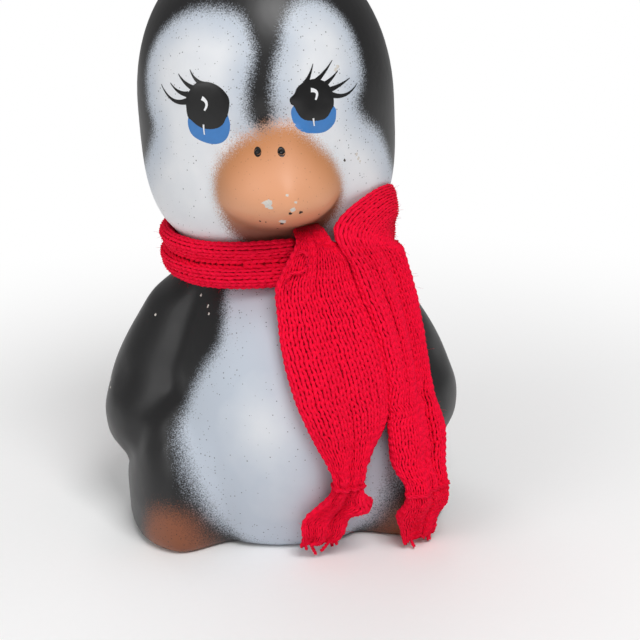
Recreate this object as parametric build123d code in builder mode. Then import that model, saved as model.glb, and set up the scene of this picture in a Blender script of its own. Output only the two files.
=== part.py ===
"""Penguin figurine: a hollow slip-cast body that wears a small knitted scarf.

Millimetres. The origin is the centre of the flat base, +Z is up and the penguin faces -Y.
Bearings are degrees around the Z axis, from the front (-Y) towards +X.
"""
import os
from math import cos, degrees, exp, hypot, pi, radians, sin, sqrt

from build123d import *

# Casting: body of the figurine
head_height = 83.0          # neck to crown
wall = 4.5                  # thickness of the cast wall
body_depth = 0.9            # depth of body and head as a share of their width
torso_radius = 42.6         # half width at the hips
torso_widest = 17.0         # height of the hips
base_draw_in = 2.0          # hips to base
base_round = 3.0            # rounded bottom edge
neck_radius = 25.0
neck_height = 79.0          # base to the narrowest part of the neck
crease_blend = 6.5          # width of the soft creases between the forms
vent_diameter = 3.5         # firing vent in the base
vent_offset = 12.0          # vent behind the middle of the base

# Casting: head and beak
head_radius = 35.3
head_middle_rise = 39.0     # neck up to the widest part of the head
head_sink = 1.0             # how far the bottom of the head lies below the neck
head_lean = 0.02            # sideways lean of the head per millimetre of height
crown_power = 2.15          # roundness of the upper half
jaw_power = 3.5             # fullness of the cheeks
crown_flat = 0.05           # depth of the small flat that closes the crown
beak_tip_rise = 23.0        # neck up to the tip of the beak
beak_out = 14.6             # tip in front of the face
beak_half_width = 17.3
beak_rise = 17.5            # tip up to the forehead
beak_drop = 12.5            # tip down to the chin
beak_taper = 1.25           # 1 is a dome, higher is more pointed with a softer foot
nostril_diameter = 1.8
nostril_rise = 35.0         # neck up to the nostrils
nostril_bearings = (-8.5, 0.5)

# Casting: belly, legs and flippers
belly_height = 30.0
belly_set_out = 11.0
belly_half_width = 33.5
belly_half_depth = 34.5
belly_top_drop = 3.0        # neck down to the top of the belly
leg_spread = 30.5
leg_set_out = 13.0
leg_height = 10.0
leg_half_width = 15.5
leg_half_depth = 26.0
leg_half_height = 34.0
shoulder_drop = 6.0         # neck down to the shoulder end of a flipper
flipper_length = 52.0
flipper_tip_spread = 44.6
flipper_lean_in = 14.5      # how far the shoulder end lies inside the tip
flipper_half_thickness = 9.8
flipper_half_width = 27.0   # measured round the body
flipper_skew = 0.67         # below 1 puts the widest part towards the tip
flipper_taper = 1.15        # 1 is a dome with a sharp crease at its foot, higher is softer

# Scarf
cloth_gap = 0.7             # cloth to casting, and cloth to cloth
band_ease = 1.5             # slack between the band and what it goes round
band_rise = 2.0             # neck up to the middle of the neck band
band_half_thickness = 3.8
band_half_height = 7.0
band_fold = 1.4             # fold line above the middle of the band
band_fold_depth = 1.2
band_puff = 0.3             # outward swell of the two folds
band_start = -38.0          # degrees from +X, counter-clockwise: under the side tail
band_sweep = 316.0          # round the back and the left side to the front
tail_thickness = 4.2
side_tail_thickness = 6.2
drape_reach = 3.0           # a tail clears what lies this far above and below it
tail_dip = 2.0              # a tail bridges hollows that are deeper than this
edge_roll = 1.6             # how far the long edges of a tail are rolled
fold_bulge = 0.8            # height of the two lengthwise folds of a tail
yarn_radius = 0.8
yarn_gap = 0.5              # tie to cloth
yarn_end_clearance = 0.8    # cut end above the base plane
tail_top_rise = 7.0         # band up to the top of the front tail
side_tail_top_rise = 10.0   # band up to the top of the side tail
front_hang_rise = 20.0      # middle of the belly up to where it carries the front tail
side_hang_rise = 5.0        # tip of the flipper up to where it carries the side tail
tail_end_height = 6.5       # lower end of the front tail above the base plane
side_tail_end_height = 4.5

outline_count = 64          # points round a level outline of the casting
cavity_count = 20           # points round a level outline of its hollow

figure_height = neck_height + head_height
head_middle = neck_height + head_middle_rise
head_bottom = neck_height - head_sink
beak_height = neck_height + beak_tip_rise
nostril_height = neck_height + nostril_rise
belly_half_height = neck_height - belly_top_drop - belly_height
flipper_tip_height = neck_height - shoulder_drop - flipper_length
band_height = neck_height + band_rise


def reach(bearing, x, y, half_x, half_y):
    """Far crossing of a ray from the axis with an ellipse, fading out where the ray misses it."""
    dx = sin(radians(bearing))
    dy = -cos(radians(bearing))
    a = (dx / half_x) ** 2 + (dy / half_y) ** 2
    b = dx * x / half_x ** 2 + dy * y / half_y ** 2
    c = (x / half_x) ** 2 + (y / half_y) ** 2 - 1
    margin = b * b / a - c
    if c > 0 and b <= 0:
        return 0.0
    if margin > 0:
        return (b + sqrt(margin * a)) / a
    return b / a * exp(2 * margin)


def dome(share, power=2.0):
    """Half width of a superellipse of unit size at a share of its half height."""
    return max(0.0, 1 - abs(share) ** power) ** (1 / power)


def torso_half_width(z):
    """Pear shape: hips, taper to the neck, slight draw-in at the base."""
    rise = max(0.0, (z - torso_widest) / (neck_height - torso_widest))
    taper = 0.5 + 0.5 * cos(pi * min(rise, 1.0) ** 1.25)
    draw_in = base_draw_in * max(0.0, 1 - z / torso_widest) ** 2
    return neck_radius + (torso_radius - neck_radius) * taper - draw_in


def head_half_width(z):
    """Egg with full cheeks."""
    if z > head_middle:
        return head_radius * dome((z - head_middle) / (figure_height - head_middle), crown_power)
    return head_radius * dome((head_middle - z) / (head_middle - head_bottom), jaw_power)


def head_shift(z):
    return -head_lean * max(0.0, z - neck_height)


def blended(one, other):
    """The larger of two radii, with a soft crease where they meet."""
    overlap = max(0.0, 1 - abs(one - other) / crease_blend)
    return max(one, other) + overlap ** 2 * crease_blend / 4


def beak_bulge(bearing, z, radius):
    """Height of the beak over the face: a rounded bill on an oval foot."""
    half_height = beak_rise if z > beak_height else beak_drop
    share = hypot(radius * sin(radians(bearing)) / beak_half_width, (z - beak_height) / half_height)
    in_front = cos(radians(bearing)) > 0
    return beak_out * (1 - share ** 2) ** beak_taper if in_front and share < 1 else 0.0


def flipper_bulge(bearing, z):
    """Height of a flipper over the side of the body: a flat paddle that hangs from the shoulder."""
    along = (z - flipper_tip_height) / flipper_length
    if not 0 < along < 1:
        return 0.0
    size = sin(pi * along ** flipper_skew)
    spread = flipper_tip_spread - flipper_lean_in * along + flipper_half_thickness * size
    half_width = flipper_half_width * (0.56 + 0.44 * size)
    from_side = abs((bearing + 180) % 360 - 180) - 90
    share = radians(from_side) * spread / half_width
    rise = max(0.0, spread - torso_half_width(z)) * min(1.0, 3 * size)
    return rise * (1 - share ** 2) ** flipper_taper if abs(share) < 1 else 0.0


def body_radius(bearing, z, with_limbs=True):
    """Distance from the axis to the surface of the casting."""
    forms = []
    if z < head_bottom + crease_blend:
        half = torso_half_width(z)
        forms.append(reach(bearing, 0, 0, half, half * body_depth))
    half = head_half_width(z)
    if z > head_bottom and half > 0:
        forms.append(reach(bearing, 0, 0, half, half * body_depth))
    size = dome((z - belly_height) / belly_half_height)
    if size > 0.02:
        forms.append(reach(bearing, 0, -belly_set_out, belly_half_width * size, belly_half_depth * size))
    size = dome((z - leg_height) / leg_half_height)
    if size > 0.02:
        for side in (-1, 1):
            forms.append(reach(bearing, side * leg_spread, -leg_set_out,
                               leg_half_width * size, leg_half_depth * size))
    radius = forms[0]
    for form in forms[1:]:
        radius = blended(radius, form)
    if with_limbs:
        radius += beak_bulge(bearing, z, radius) + flipper_bulge(bearing, z)
    if z < base_round:
        radius -= base_round - sqrt(base_round ** 2 - (base_round - z) ** 2)
    return radius


def around(bearing, radius, shift=0.0):
    """Point in a level plane."""
    return (shift + radius * sin(radians(bearing)), -radius * cos(radians(bearing)))


def outline(z, count, inset=0.0, with_limbs=True):
    """Closed level outline of the casting, from the back and with the same bearings at every level."""
    bearings = [180 + 360 * i / count for i in range(count)]
    points = [around(b, body_radius(b, z, with_limbs) - inset, head_shift(z)) for b in bearings]
    return Edge.make_spline(points, periodic=True, parameters=list(range(count + 1)))


def between(start, end, count):
    return [start + (end - start) * i / (count - 1) for i in range(count)]


# The casting is lofted through level outlines, close together where the form turns quickly
flipper_turn = flipper_tip_height + 0.2 * flipper_length
torso_levels = [base_round * share for share in (0, 0.15, 0.45)]
torso_levels += between(base_round, flipper_turn, 8)
torso_levels += between(flipper_turn, 0.9 * neck_height, 8)[1:]
torso_levels += [0.95 * neck_height, neck_height]
beak_top = beak_height + beak_rise
head_levels = between(neck_height, beak_top, 15)
for share in (0.13, 0.28, 0.44, 0.6, 0.74, 0.86, 0.94):
    head_levels.append(beak_top + (figure_height - beak_top) * share)
head_levels += [figure_height - 12 * crown_flat, figure_height - crown_flat]

with BuildPart() as cavity:
    for z in between(wall, figure_height - 1.2 * wall, 12):
        with BuildSketch(Plane.XY.offset(z)):
            with BuildLine():
                add(outline(z, cavity_count, wall, False))
            make_face()
    loft()

with BuildPart() as ceramic_casting:
    for levels in (torso_levels, head_levels):
        for z in levels:
            with BuildSketch(Plane.XY.offset(z)):
                with BuildLine():
                    add(outline(z, outline_count))
                make_face()
        loft()
    add(cavity.part, mode=Mode.SUBTRACT)
    with Locations((0, vent_offset, 0)):
        Cylinder(vent_diameter / 2, 4 * wall, mode=Mode.SUBTRACT)
    for bearing in nostril_bearings:
        x, y = around(bearing, body_radius(bearing, nostril_height), head_shift(nostril_height))
        with Locations((x, y, nostril_height)):
            Sphere(nostril_diameter / 2, mode=Mode.SUBTRACT)

# Neck band: a folded strip swept around the neck. Its section runs inwards and upwards
t = band_half_thickness
h = band_half_height
inner_low = (t, -0.6 * h)
inner_high = (t, -0.3 * h)
cheek_hollow = (0.3 * t, 0.4 * h)
top = (-0.5 * t, h)
fold = (-t + band_fold_depth, band_fold)
outer_low = (-t, -0.4 * h)


def band_slack():
    """Room from the neck to the middle of the band, so that the band clears what it goes round."""
    rooms = []
    for inwards, upwards in (inner_low, inner_high, cheek_hollow, top):
        for bearing in range(0, 360, 5):
            neck = reach(bearing, 0, 0, neck_radius, neck_radius * body_depth)
            rooms.append(body_radius(bearing, band_height + upwards) - neck + inwards)
    return max(rooms) + band_ease


slack = band_slack()
band_x = neck_radius + slack
band_y = neck_radius * body_depth + slack
with BuildPart() as scarf_neck_band:
    with BuildLine(Plane.XY.offset(band_height)) as band_path:
        EllipticalCenterArc((0, 0), band_x, band_y, band_start, arc_size=band_sweep)
    along_band = band_path.line % 0
    inward = Vector(0, 0, 1).cross(along_band)
    with BuildSketch(Plane(band_path.line @ 0, x_dir=inward, z_dir=along_band)):
        with BuildLine():
            ThreePointArc(inner_low, (0, -h), outer_low)
            ThreePointArc(outer_low, (-t - band_puff, -0.1 * h), fold)
            ThreePointArc(fold, (-t - band_puff, 0.6 * h), top)
            ThreePointArc(top, cheek_hollow, inner_high)
            Line(inner_high, inner_low)
        make_face()
    sweep()


def band_radius(bearing):
    """Distance from the axis to the outside of the neck band."""
    return reach(bearing, 0, 0, band_x + band_half_thickness + band_puff,
                 band_y + band_half_thickness + band_puff)


def hanging_radius(bearing, z, hang):
    """Inner face of a tail: over the band, on the casting, or straight between the two."""
    low_z, low_bearing = hang
    rests = [body_radius(bearing, z + step) for step in (-drape_reach, 0, drape_reach) if z + step > 0]
    top_z = band_height - band_half_height
    if z > top_z - drape_reach:
        rests.append(band_radius(bearing))
    elif z > low_z:
        share = (top_z - z) / (top_z - low_z)
        rests.append(band_radius(bearing) * (1 - share) + body_radius(low_bearing, low_z) * share)
    return max(rests) + cloth_gap


def waist_radius(z, left, right, hang):
    """Inner face of a gathered waist: the tie passes between it and the casting."""
    rest = max(hanging_radius(b, z, hang) for b in between(left, right, 5))
    return rest + 2 * yarn_radius + yarn_gap


def tail_slice(z, left, right, thickness, gathered, hang):
    """Level section of a tail: rolled long edges and two lengthwise folds."""
    middle = (left + right) / 2
    quarter = (right - left) / 4
    inner = []
    for bearing in (left, middle, right):
        nearby = between(bearing - quarter / 2, bearing + quarter / 2, 3)
        inner.append(max(hanging_radius(b, z, hang) for b in nearby))
    inner = [max(radius, max(inner) - tail_dip) for radius in inner]
    if gathered:
        inner = [waist_radius(z, left, right, hang)] * 3
    width = inner[1] * radians(right - left)
    roll = degrees(min(edge_roll, width / 7) / inner[1])
    bulge = min(fold_bulge, width / (24 if gathered else 16))
    a = around(left + roll, inner[0])
    b = around(middle, inner[1])
    c = around(right - roll, inner[2])
    right_edge = around(right, inner[2] + thickness / 2)
    d = around(right - roll, inner[2] + thickness)
    right_fold = around(middle + quarter, (inner[1] + inner[2]) / 2 + thickness + bulge)
    valley = around(middle, inner[1] + thickness - bulge)
    left_fold = around(middle - quarter, (inner[0] + inner[1]) / 2 + thickness + bulge)
    e = around(left + roll, inner[0] + thickness)
    left_edge = around(left, inner[0] + thickness / 2)
    with BuildSketch(Plane.XY.offset(z)) as section:
        with BuildLine():
            ThreePointArc(a, b, c)
            ThreePointArc(c, right_edge, d)
            ThreePointArc(d, right_fold, valley)
            ThreePointArc(valley, left_fold, e)
            ThreePointArc(e, left_edge, a)
        make_face()
    return section.sketch


# Share of the length, left and right bearing, thickness, whether gathered by the tie
front_tail_rows = [
    (0.0, 0.0, 19.5, 3.2, False),
    (0.06, -4.0, 26.5, tail_thickness, False),
    (0.14, -5.0, 29.5, tail_thickness, False),
    (0.235, -4.5, 33.2, tail_thickness, False),
    (0.33, -3.5, 35.6, tail_thickness, False),
    (0.43, -1.5, 36.0, tail_thickness, False),
    (0.53, 1.5, 35.2, tail_thickness, False),
    (0.62, 5.0, 33.0, tail_thickness, False),
    (0.70, 8.5, 27.0, 4.6, False),
    (0.765, 11.0, 21.0, 5.0, True),
    (0.815, 11.0, 20.0, 5.0, True),
    (0.88, 6.5, 20.5, 5.0, False),
    (0.94, 1.5, 18.0, 4.6, False),
    (1.0, 1.5, 13.5, 3.6, False),
]
side_tail_rows = [
    (0.0, 30.0, 63.0, 3.2, False),
    (0.07, 28.5, 63.5, 4.6, False),
    (0.15, 31.0, 64.0, 5.6, False),
    (0.235, 34.2, 63.0, side_tail_thickness, False),
    (0.325, 36.6, 60.5, side_tail_thickness, False),
    (0.415, 37.0, 58.5, side_tail_thickness, False),
    (0.51, 36.4, 56.0, side_tail_thickness, False),
    (0.595, 34.6, 54.0, side_tail_thickness, False),
    (0.68, 32.4, 52.0, side_tail_thickness, False),
    (0.755, 31.0, 49.0, 5.8, False),
    (0.815, 31.5, 45.5, 5.4, True),
    (0.86, 31.5, 45.5, 5.4, True),
    (0.925, 30.5, 47.0, 5.8, False),
    (1.0, 33.0, 44.0, 4.4, False),
]


def hung(rows, top, end):
    """Rows of a tail at their heights, from its top down to its end."""
    return [(top + (end - top) * share, *row) for share, *row in rows]


front_tail_slices = hung(front_tail_rows, band_height + tail_top_rise, tail_end_height)
side_tail_slices = hung(side_tail_rows, band_height + side_tail_top_rise, side_tail_end_height)
# Height and bearing of the place on the casting that carries each tail
front_hang = (belly_height + front_hang_rise, 15.0)
side_hang = (flipper_tip_height + side_hang_rise, 42.0)

with BuildPart() as scarf_front_tail:
    loft([tail_slice(*size, front_hang) for size in front_tail_slices])

with BuildPart() as scarf_side_tail:
    loft([tail_slice(*size, side_hang) for size in side_tail_slices])


def waist_of(slices):
    """Middle of the gathered part of a tail."""
    gathered = [size for size in slices if size[4]]
    z = sum(size[0] for size in gathered) / len(gathered)
    return (z, *gathered[0][1:4])


def tie_plane(waist, hang):
    """Level plane at the middle of a waist, its X across the tail."""
    z, left, right, thickness = waist
    middle = (left + right) / 2
    x, y = around(middle, waist_radius(z, left, right, hang) + (thickness + fold_bulge) / 2)
    return Plane((x, y, z), x_dir=(cos(radians(middle)), sin(radians(middle)), 0), z_dir=(0, 0, 1))


def tie_loop(waist, hang):
    """Points of the yarn's centre line, a rounded rectangle around a waist."""
    z, left, right, thickness = waist
    clear = yarn_radius + yarn_gap
    radius = waist_radius(z, left, right, hang) + thickness / 2
    half_x = radius * radians(right - left) / 2 + clear
    half_y = (thickness + fold_bulge) / 2 + clear
    points = []
    for i in range(16):
        turn = 2 * pi * i / 16
        x = half_x * abs(cos(turn)) ** 0.6
        y = half_y * abs(sin(turn)) ** 0.6
        points.append((x if cos(turn) > 0 else -x, y if sin(turn) > 0 else -y))
    return points


front_waist = waist_of(front_tail_slices)
side_waist = waist_of(side_tail_slices)

with BuildPart() as front_tail_tie:
    with BuildLine(tie_plane(front_waist, front_hang)) as front_loop:
        Spline(*tie_loop(front_waist, front_hang), periodic=True)
    with BuildSketch(Plane(front_loop.line @ 0, z_dir=front_loop.line % 0)):
        Circle(yarn_radius)
    sweep()

with BuildPart() as side_tail_tie:
    with BuildLine(tie_plane(side_waist, side_hang)) as side_loop:
        Spline(*tie_loop(side_waist, side_hang), periodic=True)
    with BuildSketch(Plane(side_loop.line @ 0, z_dir=side_loop.line % 0)):
        Circle(yarn_radius)
    sweep()

# Cut yarn end under the side tail
end_z, end_left, end_right, end_thickness, _ = side_tail_slices[-1]
end_bearing = (end_left + 3 * end_right) / 4
end_radius = hanging_radius(end_bearing, end_z, side_hang) + end_thickness / 2
with BuildPart() as loose_yarn_end:
    with BuildLine() as yarn_path:
        half_way = (end_z + yarn_end_clearance) / 2
        Spline((*around(end_bearing, end_radius), end_z - 2 * yarn_gap),
               (*around(end_bearing + 0.8, end_radius + 0.75 * yarn_radius), half_way),
               (*around(end_bearing + 0.4, end_radius + 1.75 * yarn_radius), yarn_end_clearance))
    with BuildSketch(Plane(yarn_path.line @ 0, z_dir=yarn_path.line % 0)):
        Circle(yarn_radius)
    sweep()

os.makedirs("parts", exist_ok=True)
pieces = {
    "ceramic_casting": ceramic_casting,
    "scarf_neck_band": scarf_neck_band,
    "scarf_front_tail": scarf_front_tail,
    "scarf_side_tail": scarf_side_tail,
    "front_tail_tie": front_tail_tie,
    "side_tail_tie": side_tail_tie,
    "loose_yarn_end": loose_yarn_end,
}
for label, piece in pieces.items():
    piece.part.label = label
    export_step(piece.part, f"parts/{label}.step")
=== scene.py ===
"""Looks of a penguin figurine: an airbrushed casting, painted eyes and a knitted scarf.

Sizes in the functions are millimetres. Bearings are degrees from the front (-Y) towards +X.
"""
from math import atan, cos, hypot, pi, radians, sin

import bpy
import numpy as np
from bpy.props import FloatProperty, FloatVectorProperty, IntProperty, PointerProperty
from mathutils import Matrix, Vector
from mathutils.bvhtree import BVHTree


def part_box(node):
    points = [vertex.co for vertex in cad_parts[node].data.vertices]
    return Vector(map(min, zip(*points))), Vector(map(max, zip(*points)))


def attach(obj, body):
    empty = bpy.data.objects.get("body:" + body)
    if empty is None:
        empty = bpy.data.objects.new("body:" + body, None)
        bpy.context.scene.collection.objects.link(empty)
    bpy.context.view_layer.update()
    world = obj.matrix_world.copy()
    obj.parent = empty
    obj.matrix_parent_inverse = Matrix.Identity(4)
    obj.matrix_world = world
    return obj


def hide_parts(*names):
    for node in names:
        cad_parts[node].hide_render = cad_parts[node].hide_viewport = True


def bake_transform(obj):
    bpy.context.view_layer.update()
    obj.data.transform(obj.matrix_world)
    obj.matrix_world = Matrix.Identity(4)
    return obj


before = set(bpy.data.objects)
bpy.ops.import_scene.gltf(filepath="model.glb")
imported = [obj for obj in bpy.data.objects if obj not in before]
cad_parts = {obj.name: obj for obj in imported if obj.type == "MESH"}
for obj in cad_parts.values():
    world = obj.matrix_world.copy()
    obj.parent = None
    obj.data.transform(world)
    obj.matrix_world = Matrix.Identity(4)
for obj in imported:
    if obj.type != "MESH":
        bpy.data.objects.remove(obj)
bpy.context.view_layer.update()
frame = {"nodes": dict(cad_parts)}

bl_info = {
    "name": "Penguin figurine",
    "version": (1, 0, 0),
    "blender": (4, 5, 0),
    "location": "3D View > Sidebar > Figurine",
    "description": "Paints the cast penguin and knits its scarf",
    "category": "Object",
}

MM = 0.001
NECK_HEIGHT = 79.0      # base to the narrowest part of the neck
HEAD_LEAN = 0.02        # sideways lean of the head per millimetre above the neck
RAY_START = 200.0       # well outside the figurine
FACE_RADIUS = 33.0      # radii on which the sprayed and brushed outlines are laid flat
BEAK_RADIUS = 34.0
BELLY_RADIUS = 46.0
FOOT_RADIUS = 48.0
NOWHERE = -5.0          # depth in a sprayed colour of points that it never reaches
BODY = "figurine"


def linear(hex_colour):
    """sRGB hex as linear RGBA."""
    shares = [int(hex_colour[i:i + 2], 16) / 255 for i in (0, 2, 4)]
    return (*[c / 12.92 if c <= 0.04045 else ((c + 0.055) / 1.055) ** 2.4 for c in shares], 1.0)


def colour(label, text, hex_colour):
    return FloatVectorProperty(name=label, description=text, subtype="COLOR", size=4, min=0, max=1,
                               default=linear(hex_colour))


def length(label, text, millimetres):
    return FloatProperty(name=label, description=text, unit="LENGTH", min=0, precision=5,
                         default=millimetres * MM)


class PaintSettings(bpy.types.PropertyGroup):
    """Colours and airbrush sizes of the painted casting"""

    white: colour("White", "Airbrushed white of face and belly", "E9EAEC")
    # Cool white is also the colour of the painted shade at the top of the belly under the scarf
    cool_white: colour("Cool white", "Bluish white of the belly and of misty edges", "BDC6D2")
    black: colour("Black", "Satin black of back, cap and flippers", "0C0B0D")
    beak: colour("Beak", "Orange in the middle of the beak", "E2A077")
    beak_edge: colour("Beak edge", "Deeper orange round the beak", "BE7A42")
    # Beak underside colour: partly darker orange sprayed under the beak, partly painted shade under it
    beak_underside_paint_and_shade: colour("Beak shade", "Brown orange under the beak", "7C463A")
    foot: colour("Foot", "Orange brown of the feet", "864A2A")
    iris: colour("Iris", "Blue under the eye", "3E80C6")
    bare: colour("Bare clay", "Fired clay where paint is chipped off", "E4DED6")
    pit: colour("Pit", "Dirt in small pits", "3A2A22")
    face_feather: length("Face feather", "Half width of the sprayed edge on the head", 2.3)
    belly_feather: length("Belly feather", "Half width of the sprayed edge on the belly", 3.2)
    beak_feather: length("Beak feather", "Half width of the sprayed edge of the beak", 2.6)
    foot_feather: length("Foot feather", "Half width of the sprayed edge of the feet", 4.0)
    droplet: length("Droplet spacing", "Spacing of stray paint droplets", 0.62)
    film: length("Brush film", "Thickness of brushed-on paint", 0.09)


class KnitSettings(bpy.types.PropertyGroup):
    """Yarn and stitch sizes of the scarf"""

    red: colour("Red", "Dyed yarn", "FF063C")
    # Tint and shade red: painted shade on the cloth between the stitches and in the ply grooves, and the
    # random tint of single stitches
    tint_and_shade_red: colour("Deep red", "Yarn between the stitches", "CC0026")
    wale: length("Wale", "Width of a column of stitches", 2.45)
    course: length("Course", "Height of a row of stitches", 1.9)
    yarn: length("Yarn", "Half thickness of a stitch leg", 0.58)
    sink: length("Sink", "How far the stitches sit inside the packed solid", 0.5)
    fibres: IntProperty(name="Fibres", description="Stray fibres on each piece", min=0, default=1500)


class StageSettings(bpy.types.PropertyGroup):
    """Camera, floor and lights"""

    azimuth: FloatProperty(name="Azimuth", description="Camera round the figurine", subtype="ANGLE",
                           default=radians(-4.0))
    elevation: FloatProperty(name="Elevation", description="Camera above the figurine", subtype="ANGLE",
                             default=radians(18.0))
    roll: FloatProperty(name="Roll", description="Tilt of the camera", subtype="ANGLE", default=radians(-2.3))
    distance: length("Distance", "Camera to the middle of the figurine", 480.0)
    focal_pixels: FloatProperty(name="Focal length",
                                  description="Focal length in pixels of a 640 pixel frame",
                                default=1685.0)
    floor: colour("Floor", "Pale paper", "F8F8F8")


# Mesh helpers


def new_piece(name, points, faces, material):
    """Mesh object with its place in its mesh, from points in millimetres."""
    mesh = bpy.data.meshes.new(name)
    mesh.from_pydata((np.asarray(points) * MM).tolist(), [], faces)
    mesh.shade_smooth()
    mesh.materials.append(material)
    made = bpy.data.objects.new(name, mesh)
    bpy.context.collection.objects.link(made)
    return made


def store(obj, name, values, kind="FLOAT"):
    """Per-point attribute of a mesh."""
    field = obj.data.attributes.new(name, kind, "POINT")
    field.data.foreach_set("value" if kind == "FLOAT" else "vector", np.ravel(values).astype(np.float32))


def quads(rows, columns):
    """Faces of a grid that is closed around its columns, as index lists."""
    faces = []
    for i in range(rows - 1):
        for j in range(columns):
            k = (j + 1) % columns
            faces.append([i * columns + j, i * columns + k, (i + 1) * columns + k, (i + 1) * columns + j])
    return faces


def closed_grid(rows, columns):
    """Faces of a grid that is closed around its columns and capped at both ends."""
    last = (rows - 1) * columns
    return quads(rows, columns) + [list(range(columns))[::-1], list(range(last, last + columns))]


def select_only(obj):
    bpy.ops.object.select_all(action="DESELECT")
    obj.select_set(True)
    bpy.context.view_layer.objects.active = obj


def tree_of(obj):
    """Search tree of an object's mesh, in metres."""
    mesh = obj.data
    return BVHTree.FromPolygons([v.co for v in mesh.vertices], [p.vertices for p in mesh.polygons])


def rounded(points, steps=8):
    """Closed smooth curve through given points."""
    points = np.asarray(points, float)
    before = np.roll(points, 1, 0)
    after = np.roll(points, -1, 0)
    beyond = np.roll(points, -2, 0)
    pieces = []
    for t in np.arange(steps) / steps:
        pieces.append(0.5 * (2 * points + (after - before) * t
                             + (2 * before - 5 * points + 4 * after - beyond) * t ** 2
                             + (3 * points - before - 3 * after + beyond) * t ** 3))
    return np.stack(pieces, 1).reshape(-1, points.shape[1])


def inside_distance(places, outline):
    """Distance of places to a closed outline in a plane, positive inside."""
    nearest = np.full(len(places), np.inf)
    inside = np.zeros(len(places), bool)
    for a, b in zip(outline, np.roll(outline, -1, 0)):
        edge = b - a
        share = np.clip((places - a) @ edge / (edge @ edge), 0, 1)
        nearest = np.minimum(nearest, np.linalg.norm(places - a - share[:, None] * edge, axis=1))
        if a[1] != b[1]:
            crossing = a[0] + (places[:, 1] - a[1]) * edge[0] / edge[1]
            inside ^= ((a[1] > places[:, 1]) != (b[1] > places[:, 1])) & (places[:, 0] < crossing)
    return np.where(inside, nearest, -nearest)


def lean_at(z):
    """Sideways place of the head's axis at a height."""
    return -HEAD_LEAN * np.maximum(0.0, z - NECK_HEIGHT)


# Materials


def node(tree, kind, settings=None, inputs=None):
    """Adds a node with its settings, and links or sets its inputs."""
    made = tree.nodes.new("ShaderNode" + kind)
    for name, value in (settings or {}).items():
        setattr(made, name, value)
    for key, value in (inputs or {}).items():
        if isinstance(value, bpy.types.NodeSocket):
            tree.links.new(value, made.inputs[key])
        else:
            made.inputs[key].default_value = value
    return made


def new_material(name):
    """Empty material with its shader."""
    made = bpy.data.materials.new(name)
    made.use_nodes = True
    return made, made.node_tree, made.node_tree.nodes["Principled BSDF"]


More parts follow.
